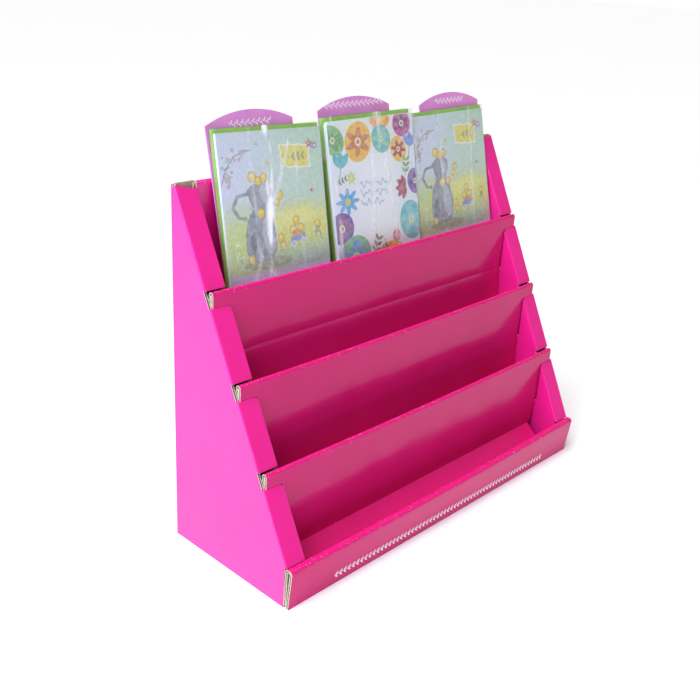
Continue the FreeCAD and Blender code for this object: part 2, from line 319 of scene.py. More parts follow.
def add_slab(bm, stations, normals, near, far, shrink, bow, slots, fold_layer):
    """A slab that follows the stations (y, z, half, fold) between two depths."""
    grids = []
    for depth in (near, far):
        grid = []
        for (y, z, half, fold), normal in zip(stations, normals):
            row = []
            for column in range(COLUMNS + 1):
                x = (half - shrink) * (2 * column / COLUMNS - 1)
                point = Vector((x, y - normal.x * depth, z - normal.y * depth))
                vert = bm.verts.new(point + bow(x, z))
                vert[fold_layer] = fold
                row.append(vert)
            grid.append(row)
        grids.append(grid)
    outside, inside = grids
    last = len(stations) - 1
    for i in range(last):
        for c in range(COLUMNS):
            quad = (outside[i][c], outside[i + 1][c], outside[i + 1][c + 1], outside[i][c + 1])
            bm.faces.new(quad).material_index = slots[0]
            quad = (inside[i][c], inside[i][c + 1], inside[i + 1][c + 1], inside[i + 1][c])
            bm.faces.new(quad).material_index = slots[1]
        for c, turn in ((0, 1), (COLUMNS, -1)):
            quad = (outside[i][c], inside[i][c], inside[i + 1][c], outside[i + 1][c])[::turn]
            bm.faces.new(quad).material_index = slots[2]
    for i, turn in ((0, -1), (last, 1)):
        for c in range(COLUMNS):
            quad = (outside[i][c], inside[i][c], inside[i][c + 1], outside[i][c + 1])[::turn]
            bm.faces.new(quad).material_index = slots[2]


raw_edges = {}


def note_raw_edge(body, points, across, inward):
    """Remember a cut edge: its points, the thickness directions, and the way into the board."""
    if len(points) > 1:
        raw_edges.setdefault(body, []).append((points, across, inward))


def sweep_sheet(name, body, stations, bow, replaced, material):
    """A folded sheet of three layers. Its printed side is on the right of the profile."""
    bm = bmesh.new()
    fold_layer = bm.verts.layers.float.new("fold")
    stations = finer(stations)
    normals = profile_normals(stations)
    for (near, far, short), slots in zip(LAYERS, ((0, 1, 2), (1, 1, 1), (1, 1, 2))):
        add_slab(bm, stations, normals, near, far, short, bow, slots, fold_layer)
    mesh = mesh_of(bm, name)
    mesh.polygons.foreach_set("use_smooth", [True] * len(mesh.polygons))
    mesh.set_sharp_from_angle(angle=math.radians(35))
    piece = make_object(name, mesh, body, [material, raw_liner, cut_edge])
    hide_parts(*replaced)
    for side in (-1, 1):
        points, across = [], []
        for i, ((y, z, half, _), normal) in enumerate(zip(stations, normals)):
            if i and stations[i - 1][:2] == (y, z):   # the width steps, so the edge is broken
                note_raw_edge(body, points, across, Vector((-side, 0, 0)))
                points, across = [], []
            x = side * (half - RAW_RECESS / 2)
            middle = Vector((x, y - normal.x * BOARD / 2, z - normal.y * BOARD / 2))
            points.append(middle + bow(x, z))
            across.append(Vector((0, normal.x, normal.y)).normalized())
        note_raw_edge(body, points, across, Vector((-side, 0, 0)))
    print(name, len(mesh.polygons), "faces")
    return piece


# %% [markdown]
# ## Tiers
# Each tier is one sheet: a flap behind, a roll at the top, the front with an ear at each end,
# a skirt, and a shelf folded forward at the foot. The long free edge at the top bows forward
# by about 3 mm in the middle, as board does when it is handled, and each tier a bit
# differently. The ears reach over the strips, so the half width changes along the profile.

# %% The three tiers
ROLL_STEPS = 6
ROLL_RADIUS = 2.9 * MM
ROLL_END = 1 * MM          # the straight run at each end of a roll
CREASE_REACH = 2 * MM      # how far a crease rounds the sheet on each side
SKIRT_GAP = 0.8 * MM       # between a tier's skirt and the inner side
TIER_BOWS = (2.6 * MM, 3.2 * MM, 2.8 * MM)


def bow_forward(amount, z_low, z_high, half):
    """A bend towards the front that is largest at the top and in the middle."""
    def bow(x, z):
        up = min(max((z - z_low) / (z_high - z_low), 0.0), 1.0)
        middle = max(0.0, 1 - (x / half) ** 2)
        return Vector((0, -amount * up ** 1.5 * middle, 0))
    return bow


def rolled_top(face, back, top, half):
    """Stations over a rolled edge, from the back to the front."""
    stations = [(back, top - ROLL_RADIUS - ROLL_END, half, 0)]
    for centre, start in ((back - ROLL_RADIUS, 0), (face + ROLL_RADIUS, 90)):
        for y, z in arc((centre, top - ROLL_RADIUS), ROLL_RADIUS, start, start + 90, ROLL_STEPS):
            stations.append((y, z, half, 1))
    return stations + [(face, top - ROLL_RADIUS - ROLL_END, half, 0)]


def folded_shelf(wall, shelf_node, half, shelf_half):
    """Stations down a wall, given by a point on it, round the crease and along the shelf."""
    low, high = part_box(shelf_node)
    crease = Vector((high.y, high.z))
    foot = Vector((low.y, crease.y - (crease.x - low.y) * SHELF_SLOPE))
    above = crease + (wall - crease).normalized() * CREASE_REACH
    ahead = crease + (foot - crease).normalized() * CREASE_REACH
    return [(above.x, above.y, (half + shelf_half) / 2, 0), (crease.x, crease.y, shelf_half, 0.6),
            (ahead.x, ahead.y, shelf_half, 0), (foot.x, foot.y, shelf_half, 0)]


def tier_stations(number):
    fold_low, fold_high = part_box(f"tier_{number}_top_fold")
    face, back, top = fold_low.y, fold_high.y, fold_high.z
    ear_half, tab_half, skirt_half = fold_high.x, INNER + BOARD, INNER - SKIRT_GAP
    ear, jog = top - EAR_HEIGHT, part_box(f"tier_{number}_flap")[0].z
    stations = [(back, jog, tab_half, 0), (back, ear, tab_half, 0), (back, ear, ear_half, 0)]
    stations += rolled_top(face, back, top, ear_half)
    stations += [(face, ear, ear_half, 0), (face, ear, tab_half, 0),
                 (face, jog, tab_half, 0), (face, jog, skirt_half, 0)]
    shelf_node = f"tier_{number}_shelf"
    stations += folded_shelf(Vector((face, jog)), shelf_node, skirt_half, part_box(shelf_node)[1].x)
    return stations, top, jog, ear_half


for number in (1, 2, 3):
    stations, top, jog, ear_half = tier_stations(number)
    bow = bow_forward(TIER_BOWS[number - 1], jog, top, ear_half)
    replaced = [f"tier_{number}_{part}" for part in ("front", "top_fold", "flap", "shelf")]
    sweep_sheet(f"tier_{number}_sheet", f"tier_{number}", stations, bow, replaced, level_print_painted_shade)

# %% [markdown]
# ## Lip and back
# The lip is swept in the same way: up its back sheet, over a wide roll, and down the front,
# which leans out. The back wall rolls over at the top into the pink liner of the top pocket,
# which is folded forward at its foot as the pocket's floor.

# %% Lip and back
LIP_BOW = 2.6 * MM
PLY_GAP = 0.2 * MM
ROLL_FOOT = 2 * MM         # how far the rolled edge of the back reaches down
lip_back_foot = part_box("lip_back")
lip_bow = bow_forward(LIP_BOW, 0, LIP_TOP, HALF)
lip_stations = [(lip_back_foot[1].y, lip_back_foot[0].z, HALF, 0)]
lip_stations += rolled_top(LIP_FACE, LIP_BACK, LIP_TOP, HALF)
lip_stations.append((FRONT, 0, HALF, 0))
sweep_sheet("lip_sheet", "shell", lip_stations, lip_bow,
            ["lip_front", "lip_top_fold", "lip_back"], level_print_painted_shade)

fold_low, fold_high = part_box("back_top_fold")
corner_foot = fold_low.z - ROLL_FOOT
back_stations = [(BACK, 0, HALF - BOARD, 0), (BACK, corner_foot, HALF - BOARD, 0),
                 (BACK, corner_foot, INNER, 0)]
back_stations += rolled_top(fold_low.y, BACK, HEIGHT, INNER)
liner_half = INNER - PLY_GAP
back_stations += folded_shelf(Vector((fold_low.y, HEIGHT)), "top_shelf", liner_half, liner_half)


def no_bow(x, z):
    return Vector((0, 0, 0))


sweep_sheet("back_sheet", "shell", back_stations, no_bow,
            ["back_panel", "back_top_fold", "back_liner", "top_shelf"], upright_print)

# %% [markdown]
# ## Side walls
# A side wall's panels are flat sheets with a cut outline, so they are drawn as an outline in
# the side view and given the same three layers. The core's outline is moved inwards by the
# recess. The inner side has a slot and a notch for each tier.

# %% Flat sheets for the walls
SLOT_BEFORE = 1.4 * MM
SLOT_BEHIND = 0.4 * MM
LIFT_CLEAR = 0.3 * MM
STRIP_TOP_DROP = 5 * MM    # the top strip's upper edge falls this much towards the pocket

first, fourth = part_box("left_strip_1"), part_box("left_strip_4")
SLOPE = (fourth[0].y - first[0].y) / (fourth[0].z - first[0].z)
SKIN = BOARD * math.hypot(1, SLOPE)     # the thickness of a strip along a level line
SIDES = (("left", 1), ("right", -1))


def strip_back(z):
    """Where the back of the front strips is at this height."""
    return first[0].y + (z - first[0].z) * SLOPE + SKIN


def strip_start(y):
    """The height at which the back of the strips is this far back."""
    return first[0].z + (y - SKIN - first[0].y) / SLOPE


def flat_faces(outline, start=0):
    """Triangles that fill an outline, all facing the same way, numbered from the start."""
    faces = []
    for a, b, c in tessellate_polygon([[Vector((u, v, 0)) for u, v in outline]]):
        pa, pb, pc = (Vector(outline[i]) for i in (a, b, c))
        if (pb - pa).cross(pc - pa) <= 0:
            b, c = c, b
        faces.append((start + a, start + b, start + c))
    return faces


def moved_inwards(outline, amount):
    """An outline, drawn anticlockwise, with every side moved inwards."""
    moved = []
    for i, corner in enumerate(outline):
        before = (corner - outline[i - 1]).normalized()
        after = (outline[(i + 1) % len(outline)] - corner).normalized()
        sides = Vector((-before.y, before.x)) + Vector((-after.y, after.x))
        moved.append(corner + sides * amount / max(sides.length_squared / 2, 0.5))
    return moved


def add_plate(bm, outline, x_low, x_high, slots):
    """A flat plate in the side view between two x values. The slots are low, high and edge."""
    rings = [[bm.verts.new((x, p.x, p.y)) for p in outline] for x in (x_low, x_high)]
    for a, b, c in flat_faces(outline):
        bm.faces.new((rings[0][c], rings[0][b], rings[0][a])).material_index = slots[0]
        bm.faces.new((rings[1][a], rings[1][b], rings[1][c])).material_index = slots[1]
    for i in range(len(outline)):
        quad = (rings[0][i - 1], rings[0][i], rings[1][i], rings[1][i - 1])
        bm.faces.new(quad).material_index = slots[2]


def flat_sheet(name, outline, x_low, printed_low, replaced, raw_sides):
    """A flat board in the side view. The raw sides, listed by first corner, show flutes."""
    bm = bmesh.new()
    outline = [Vector(p) for p in outline]
    low_slot, high_slot = (0, 1) if printed_low else (1, 0)
    for (near, far, short), slots in zip(LAYERS, ((low_slot, 1, 2), (1, 1, 1), (1, high_slot, 2))):
        add_plate(bm, moved_inwards(outline, short), x_low + near, x_low + far, slots)
    mesh = mesh_of(bm, name)
    piece = make_object(name, mesh, "shell", [upright_print, raw_liner, cut_edge])
    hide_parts(replaced)
    recessed = moved_inwards(outline, RAW_RECESS / 2)
    for i in raw_sides:
        ends = [recessed[i], recessed[(i + 1) % len(outline)]]
        way = (ends[1] - ends[0]).normalized()
        points = [Vector((x_low + BOARD / 2, p.x, p.y)) for p in ends]
        note_raw_edge("shell", points, [Vector((1, 0, 0))] * 2, Vector((0, -way.y, way.x)))
    print(name, len(mesh.polygons), "faces")


def inner_outline():
    """The inner side, anticlockwise from its foot at the front. Returns also its raw sides."""
    low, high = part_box("left_inner_side")
    strip_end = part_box("left_strip_4")[1].z - STRIP_TOP_DROP
    outline = [(low.y, low.z), (high.y, low.z), (high.y, high.z), (fold_low.y, high.z),
               (strip_back(strip_end), strip_end)]
    raw = [2, 3]
    for number in (3, 2, 1):
        low_fold, high_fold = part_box(f"tier_{number}_top_fold")
        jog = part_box(f"tier_{number}_flap")[0].z - LIFT_CLEAR
        behind, before = high_fold.y + SLOT_BEHIND, low_fold.y - SLOT_BEFORE
        raw += range(len(outline), len(outline) + 3)
        outline += [(behind, strip_start(behind)), (behind, jog),
                    (before, jog), (before, strip_start(before))]
    outline.append((low.y, LIP_TOP))
    return outline, raw


wall_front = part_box("left_outer_side")[0].y
outer_line = [(wall_front, 0), (BACK, 0), (BACK, HEIGHT), (strip_back(HEIGHT), HEIGHT),
              (wall_front, LIP_TOP)]
inner_line, inner_raw = inner_outline()
for side, mirror in SIDES:
    x_outer = -HALF if mirror == 1 else HALF - BOARD
    x_inner = -INNER - BOARD if mirror == 1 else INNER
    flat_sheet(f"{side}_outer_board", outer_line, x_outer, mirror == 1,
               f"{side}_outer_side", [1, 2])
    flat_sheet(f"{side}_inner_board", inner_line, x_inner, mirror == -1,
               f"{side}_inner_side", inner_raw)


def back_corner(side, mirror):
    """The back panel's corner beside the rolled edge, left flat, with a cut edge on top."""
    bm = bmesh.new()
    x_low, x_high = sorted((mirror * -INNER, mirror * (-HALF + BOARD)))
    face = BACK - BOARD
    for (near, far, short), slots in zip(LAYERS, ((2, 2, 1), (1, 1, 1), (2, 2, 0))):
        top = HEIGHT - short
        layer = [Vector(p) for p in ((face + near, corner_foot), (face + far, corner_foot),
                                     (face + far, top), (face + near, top))]
        add_plate(bm, layer, x_low, x_high, slots)
    mesh = mesh_of(bm, f"{side}_back_corner")
    make_object(mesh.name, mesh, "shell", [upright_print, raw_liner, cut_edge])
    points = [Vector((x, BACK - BOARD / 2, HEIGHT - RAW_RECESS / 2)) for x in (x_low, x_high)]
    note_raw_edge("shell", points, [Vector((0, 1, 0))] * 2, Vector((0, 0, -1)))


for side, mirror in SIDES:
    back_corner(side, mirror)

# %% [markdown]
# ## Front strips
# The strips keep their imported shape, which already has the rounded fold and the slot's round
# corner. Their faces are sorted by the way they look: print outside, kraft inside, and a pale
# cut edge on the ends and in the slots.

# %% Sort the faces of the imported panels
def sort_faces(node, materials, choose):
    """Give each face of a packed panel a material by its direction."""
    mesh = frame["nodes"][node].data
    mesh.materials.clear()
    for material in materials:
        mesh.materials.append(material)
    for polygon in mesh.polygons:
        polygon.material_index = choose(polygon.normal)


slope_out = Vector((0, -1, SLOPE)).normalized()


def strip_layer(normal):
    """Print on the outside and round the long edges, liner behind, and pale cut ends."""
    out = normal.dot(slope_out)
    if out > 0.25 or abs(normal.x) > 0.5:
        return 0
    return 1 if out < -0.7 else 2


for side, _ in SIDES:
    for number in (1, 2, 3, 4):
        sort_faces(f"{side}_strip_{number}", [upright_print, raw_liner, cut_edge], strip_layer)
sort_faces("base_panel", [raw_liner], lambda normal: 0)

# %% [markdown]
# ## Fluting
# The wavy paper shows wherever the board is cut across its flutes. It repeats along a path,
# so Geometry Nodes lay it: each cut edge is a line with the thickness direction stored at its
# points. The tree resamples the line, pushes the points across by a sine of the length, and
# sweeps a thin flat section along it. The section stands across the line, as deep as the recess.

# %% A node tree that lays fluting along the cut edges
def socket(tree, name, kind, value=None, way="INPUT"):
    made = tree.interface.new_socket(name=name, in_out=way, socket_type=kind)
    if value is not None:
        made.default_value = value
    return made.identifier


def new_geometry_tree(name, inputs):
    """A tree with a Geometry input and output and these named inputs: (name, kind, value)."""
    tree = bpy.data.node_groups.new(name, "GeometryNodeTree")
    socket(tree, "Geometry", "NodeSocketGeometry")
    keys = {label: socket(tree, label, kind, value) for label, kind, value in inputs}
    socket(tree, "Geometry", "NodeSocketGeometry", way="OUTPUT")
    return tree, add(tree, "NodeGroupInput").outputs, keys


def close_geometry_tree(tree, geometry, material):
    """End the tree: real geometry in place of instances, with its material."""
    real = add(tree, "GeometryNodeRealizeInstances", {"Geometry": geometry})
    dressed = add(tree, "GeometryNodeSetMaterial",
                  {"Geometry": real.outputs[0], "Material": material})
    add(tree, "NodeGroupOutput", {"Geometry": dressed.outputs[0]})


def grown(name, base, tree, keys, values, body):
    """Run the tree on a base mesh and keep the result as a plain mesh that rides on the body."""
    carrier = put_in_scene(name + "_path", base)
    modifier = carrier.modifiers.new("grow", "NODES")
    modifier.node_group = tree
    for label, value in values.items():
        modifier[keys[label]] = value
    ready = carrier.evaluated_get(bpy.context.evaluated_depsgraph_get())
    mesh = bpy.data.meshes.new_from_object(ready)
    mesh.name = name
    carrier.modifiers.remove(modifier)
    bpy.data.objects.remove(carrier)
    print(name, len(mesh.polygons), "faces")
    return make_object(name, mesh, body, [])


WAVE_RISE = (BOARD - 2 * LINER - FLUTE_PAPER) / 2     # the wave just fills the gap of the liners
fluting, given, fluting_keys = new_geometry_tree("fluting", [
    ("Pitch", "NodeSocketFloat", FLUTE_PITCH), ("Rise", "NodeSocketFloat", 0.5 * MM),
    ("Paper", "NodeSocketFloat", FLUTE_PAPER), ("Depth", "NodeSocketFloat", RAW_RECESS)])
line = add(fluting, "GeometryNodeMeshToCurve", {"Mesh": given["Geometry"]})
step = maths(fluting, "DIVIDE", given["Pitch"], 10)
fine = add(fluting, "GeometryNodeResampleCurve", {"Curve": line.outputs[0], "Length": step},
           mode="LENGTH")
inward, across = (add(fluting, "GeometryNodeInputNamedAttribute", {"Name": name},
                      data_type="FLOAT_VECTOR").outputs[0] for name in ("inward", "across"))
length = add(fluting, "GeometryNodeSplineParameter").outputs["Length"]
turns = maths(fluting, "DIVIDE", length, given["Pitch"])
wave = maths(fluting, "SINE", maths(fluting, "MULTIPLY", turns, 2 * math.pi))
rise = maths(fluting, "MULTIPLY", wave, given["Rise"])
push = add(fluting, "ShaderNodeVectorMath", {0: across, "Scale": rise}, operation="SCALE")
wavy = add(fluting, "GeometryNodeSetPosition",
           {"Geometry": fine.outputs[0], "Offset": push.outputs[0]})
stood = add(fluting, "GeometryNodeSetCurveNormal", {"Curve": wavy.outputs[0], "Normal": inward},
            mode="FREE")
section = add(fluting, "GeometryNodeCurvePrimitiveQuadrilateral",
              {"Width": given["Depth"], "Height": given["Paper"]})
paper = add(fluting, "GeometryNodeCurveToMesh",
            {"Curve": stood.outputs[0], "Profile Curve": section.outputs[0], "Fill Caps": True})
close_geometry_tree(fluting, paper.outputs[0], flute_paper)

for body, edges in sorted(raw_edges.items()):
    verts, links, across_all, inward_all = [], [], [], []
    for points, across_here, inward_here in edges:
        start = len(verts)
        verts += points
        links += [(start + i, start + i + 1) for i in range(len(points) - 1)]
        across_all += across_here
        inward_all += [inward_here] * len(points)
    base = bpy.data.meshes.new(f"{body}_cut_edges")
    base.from_pydata(verts, links, [])
    for label, vectors in (("across", across_all), ("inward", inward_all)):
        layer = base.attributes.new(label, "FLOAT_VECTOR", "POINT")
        layer.data.foreach_set("vector", [c for v in vectors for c in v])
    grown(f"{body}_fluting", base, fluting, fluting_keys, {"Rise": WAVE_RISE}, body)

# %% [markdown]
# ## Packs of cards
# A pack is a pile of cards in front of a pile of envelopes, in a clear film sleeve. The pack
# leans back, and one has slumped a little sideways, so each has its own frame: right, up and
# out. The lean comes from the joint along which the pack lifts out. The piles repeat one
# sheet, so Geometry Nodes stack them, and slip each sheet a few tenths of a millimetre.

# %% Frames of the packs
PACK_SLUMPS = {1: 2.0, 2: 0.2, 3: -0.4}    # degrees, clockwise
CARD_ACROSS, CARD_TALL = 127, 178          # in mm, the unit of every picture
CARD_WIDTH, CARD_HEIGHT = CARD_ACROSS * MM, CARD_TALL * MM
lifts = {joint["child"]: Vector(joint["axis"]) for joint in frame["joints"]}


class LeaningFrame:
    """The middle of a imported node, with its right, up and out directions."""

    def __init__(self, node, body, slump=0.0):
        low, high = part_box(node)
        self.middle = (low + high) / 2
        up = lifts[body].normalized()
        right = Vector((1, 0, 0))
        self.out = right.cross(up)
        turn = math.radians(slump)
        self.up = math.cos(turn) * up + math.sin(turn) * right
        self.right = math.cos(turn) * right - math.sin(turn) * up
        points = [vert.co - self.middle for vert in frame["nodes"][node].data.vertices]
        self.half_width = max(p.dot(self.right) for p in points)
        self.half_height = max(p.dot(self.up) for p in points)
        self.half_depth = max(p.dot(self.out) for p in points)

    def at(self, u, v, w=0.0):
        return self.middle + u * self.right + v * self.up + w * self.out


def rounded_outline(half_width, half_height, radius):
    """A rectangle with round corners, anticlockwise."""
    points = []
    for corner, (sx, sy) in enumerate(((1, 1), (-1, 1), (-1, -1), (1, -1))):
        centre = (sx * (half_width - radius), sy * (half_height - radius))
        points += arc(centre, radius, 90 * corner, 90 * corner + 90, 5)
    return points


# %% [markdown]
# ## Papers and film
# Card stock is a smooth satin white, the envelopes are uncoated lime paper with a fine
# tooth, and the tabs are mauve coated card. The sleeve is clear polypropylene film, 30
# microns thick. Film that thin doesn't bend what is behind it, so it is mixed from
# a transparent shader and a sharp gloss that grows towards grazing angles. Painted glare, a
# value on the front film's points, mixes in a matt white in streaks up the pack.

# %% Paper and film finishes
def coated_paper(name, base, shade, roughness, blotch, tooth):
    """Paper with a slight mottle and tooth."""
    material, tree, place = new_material(name)
    mottle = spread(tree, speckle(tree, place, blotch, 3.0), 0.35, 0.65)
    grain = bumped(tree, speckle(tree, place, 0.4 * MM, 2.0), tooth, 0.05 * MM)
    finish_solid(tree, blend_colours(tree, mottle, shade, base), roughness, {"Normal": grain})
    return material


card_stock = coated_paper("satin_card_stock", "F2F1F4", "E9E9EE", 0.45, 30 * MM, 0.2)
lime_paper = coated_paper("lime_envelope_paper", "93C93F", "86BC33", 0.7, 18 * MM, 0.6)
tab_card = coated_paper("mauve_tab_card", "DC8ECB", "D484C3", 0.35, 22 * MM, 0.2)


GLOSS_AHEAD, GLOSS_GRAZING = 0.06, 0.6     # the film's gloss head-on, and what grazing adds
FILM_HAZE = 0.035


def clear_film():
    material, tree, place = new_material("clear_polypropylene_film")
    bump = bumped(tree, speckle(tree, place, 5 * MM, 3.0, (1, 1, 0.3)), 0.5, 0.8 * MM)
    clear = add(tree, "ShaderNodeBsdfTransparent", {"Color": (0.97, 0.98, 0.98, 1)})
    gloss = add(tree, "ShaderNodeBsdfGlossy", {"Roughness": 0.09, "Normal": bump})
    white_for_haze_and_glare = add(tree, "ShaderNodeBsdfDiffuse", {"Color": linear("FBFCFF")})
    facing = add(tree, "ShaderNodeLayerWeight", {"Blend": 0.5, "Normal": bump}).outputs["Facing"]
    share = maths(tree, "MULTIPLY_ADD", maths(tree, "POWER", facing, 3.0), GLOSS_GRAZING, GLOSS_AHEAD)
    # painted glare: this value on the points marks white streaks on the front film
    crease = add(tree, "ShaderNodeAttribute", attribute_name="crease").outputs["Fac"]
    ragged = spread(tree, speckle(tree, place, 11 * MM, 4.0, (1, 1, 0.22)), 0.44, 0.56)
    haze_and_painted_glare = maths(tree, "MAXIMUM", maths(tree, "MULTIPLY", crease, ragged), FILM_HAZE)
    milky = blend_shaders(tree, haze_and_painted_glare, blend_shaders(tree, share, clear, gloss), white_for_haze_and_glare)
    finish_material(tree, milky.outputs[0])
    return material


film = clear_film()
print("papers", card_stock.name, lime_paper.name, tab_card.name, film.name)

# %% [markdown]
# ## Stacks and rows
# One tree repeats a shape along a straight step, with a random slip. It serves the piles of
# cards and envelopes and the printed row on the lip.

# %% A node tree that repeats a shape
repeats, given, repeat_keys = new_geometry_tree("repeat_along_a_step", [
    ("Count", "NodeSocketInt", 6), ("Step", "NodeSocketVector", (0, 0, 0.6 * MM)),
    ("Slip", "NodeSocketVector", (0, 0, 0)), ("Seed", "NodeSocketInt", 1),
    ("Material", "NodeSocketMaterial", None)])
row = add(repeats, "GeometryNodeMeshLine", {"Count": given["Count"], "Offset": given["Step"]})
back_slip = add(repeats, "ShaderNodeVectorMath", {0: given["Slip"], "Scale": -1.0},
                operation="SCALE")
slip = add(repeats, "FunctionNodeRandomValue", {"Seed": given["Seed"]}, data_type="FLOAT_VECTOR")
repeats.links.new(back_slip.outputs[0], slip.inputs[0])
repeats.links.new(given["Slip"], slip.inputs[1])
slipped = add(repeats, "GeometryNodeSetPosition",
              {"Geometry": row.outputs[0], "Offset": slip.outputs[0]})
copies = add(repeats, "GeometryNodeInstanceOnPoints",
             {"Points": slipped.outputs[0], "Instance": given["Geometry"]})
close_geometry_tree(repeats, copies.outputs[0], given["Material"])


SLIP_ROOM = 0.25 * MM      # what a pile leaves free round its packed block, for slipped sheets
MOST_SLIP = 0.6 * SLIP_ROOM
SHEET_SHARE = 0.6          # of the step from sheet to sheet; the rest is air


def paper_stack(name, place, body, count, radius, material, seed):
    """A pile of sheets that fills a packed block, from its back to its front."""
    pitch = 2 * place.half_depth / count
    outline = rounded_outline(place.half_width - SLIP_ROOM, place.half_height - SLIP_ROOM, radius)
    back = -place.half_depth + SLIP_ROOM * 0.1
    verts = [place.at(u, v, w) for w in (back, back + pitch * SHEET_SHARE) for u, v in outline]
    size = len(outline)
    faces = [list(range(size))[::-1], list(range(size, 2 * size))]
    faces += [(i, (i + 1) % size, (i + 1) % size + size, i + size) for i in range(size)]
    base = bpy.data.meshes.new(name)
    base.from_pydata(verts, [], faces)
    values = {"Count": count, "Step": list(place.out * pitch), "Seed": seed, "Material": material,
              "Slip": list((place.right + place.up) * MOST_SLIP)}
    return grown(name, base, repeats, repeat_keys, values, body)


PILE_COUNTS = {1: 6, 2: 8, 3: 4}
CARD_CORNERS = {1: 0.5 * MM, 2: 4 * MM, 3: 0.5 * MM}
ENVELOPE_CORNER = 0.8 * MM
card_frames, sleeve_frames = {}, {}
for number in (1, 2, 3):
    body, slump = f"pack_{number}", PACK_SLUMPS[number]
    card_frames[number] = LeaningFrame(f"{body}_cards", body, slump)
    sleeve_frames[number] = LeaningFrame(f"{body}_sleeve", body, slump)
    envelopes = LeaningFrame(f"{body}_envelopes", body, slump)
    for kind, place, radius, paper, slot, seed in (
            ("card", card_frames[number], CARD_CORNERS[number], card_stock, "card_print", number),
            ("envelope", envelopes, ENVELOPE_CORNER, lime_paper, "envelope_paper", number + 10)):
        pile = paper_stack(f"{body}_{kind}_pile", place, body, PILE_COUNTS[number], radius, paper,
                           seed)
        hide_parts(f"{body}_{kind}s")

# %% [markdown]
# ## Printed pictures
# The front card's picture is ink on paper: soft washes under crisp small shapes. The washes
# are ellipses with ragged soft edges in the face's material, placed on its UV map, where 1 is
# the card's height. The small shapes are flat pieces a few hundredths of a millimetre above
# the face, each in an ink with the mottle of watercolour. All pictures are plain garden
# things: flowers, leaves, painted eggs, a jug and a cart.

# %% Inks, washes and flat shapes
SHOWN = 0.80               # the share of a card's height that the tier in front leaves in view
LEVEL_STEP = 0.008 * MM    # from one level of shapes to the next
PICTURE_MARGIN = 0.6       # in mm
inks = {}


def ink(code):
    """A watercolour ink: the hex colour with lighter blooms."""
    material, tree, place = new_material(f"ink_{code}")
    blooms = spread(tree, speckle(tree, place, 5 * MM, 4.0), 0.35, 0.7, 0.0, 0.28)
    finish_solid(tree, blend_colours(tree, blooms, code, "F6F4F4"), 0.45)
    return material


def washed_face(name, base, washes):
    """Card face with washes: (u, v, half width, half height, softness, hex, strength)."""
    material, tree, _ = new_material(name)
    uv = add(tree, "ShaderNodeUVMap", uv_map="card").outputs[0]
    ragged, grain = (add(tree, "ShaderNodeTexNoise", {"Vector": uv, "Scale": scale, "Detail": detail})
                     for scale, detail in ((9.0, 4.0), (40.0, 5.0)))
    centred = vector_maths(tree, "SUBTRACT", ragged.outputs["Color"], (0.5, 0.5, 0.5))
    moved = vector_maths(tree, "MULTIPLY_ADD", centred, (0.1, 0.1, 0.0), uv)
    colour = base
    for u, v, wide, tall, soft, code, strength in washes:
        v, tall = 1 - (1 - v) * SHOWN, tall * SHOWN
        offset = vector_maths(tree, "SUBTRACT", moved, (u, v, 0.0))
        far = vector_maths(tree, "LENGTH",
                           vector_maths(tree, "MULTIPLY", offset, (1 / wide, 1 / tall, 0.0)))
        share = spread(tree, far, 1 + soft, 1 - soft, 0.0, strength)
        colour = blend_colours(tree, share, colour, code)
    paler = spread(tree, grain.outputs["Fac"], 0.4, 0.75, 0.0, 0.3)
    finish_solid(tree, blend_colours(tree, paler, colour, "FFFFFF"), 0.4)
    return material


def turned(points, u, v, turn):
    """Points turned about the origin by some degrees, then moved to (u, v)."""
    cos, sin = math.cos(math.radians(turn)), math.sin(math.radians(turn))
    return [(u + x * cos - y * sin, v + x * sin + y * cos) for x, y in points]


def ellipse(u, v, wide, tall, turn=0.0, count=28):
    """Points of an ellipse. All picture sizes are in millimetres, and turns in degrees."""
    angles = [2 * math.pi * i / count for i in range(count)]
    return turned([(wide * math.cos(a), tall * math.sin(a)) for a in angles], u, v, turn)


def disc(u, v, radius, code, count=28):
    """A round shape in its ink."""
    return ellipse(u, v, radius, radius, count=count), code


def blossom(u, v, radius, petals, pinch=0.45, turn=90.0):
    """A flower outline whose radius waves between the petals."""
    points = []
    for i in range(petals * 10):
        a = 2 * math.pi * i / (petals * 10)
        reach = radius * (1 - pinch * (0.5 - 0.5 * math.cos(petals * a)))
        a += math.radians(turn)
        points.append((u + reach * math.cos(a), v + reach * math.sin(a)))
    return points


def leaf(u, v, length, width, turn):
    """A pointed leaf that starts at (u, v)."""
    points = []
    for side, way in ((1, range(0, 9)), (-1, range(7, 0, -1))):
        for i in way:
            y = side * width / 2 * math.sin(math.pi * i / 8) ** 0.8
            points.append((length * i / 8, y))
    return turned(points, u, v, turn)


def stroke(points, width):
    """A thin line of this width through the points, as an outline."""
    left, right = [], []
    for i, point in enumerate(points):
        before, after = points[max(i - 1, 0)], points[min(i + 1, len(points) - 1)]
        way = (Vector(after) - Vector(before)).normalized()
        side = Vector((-way.y, way.x)) * width / 2
        left.append(tuple(Vector(point) + side))
        right.append(tuple(Vector(point) - side))
    return right + left[::-1]


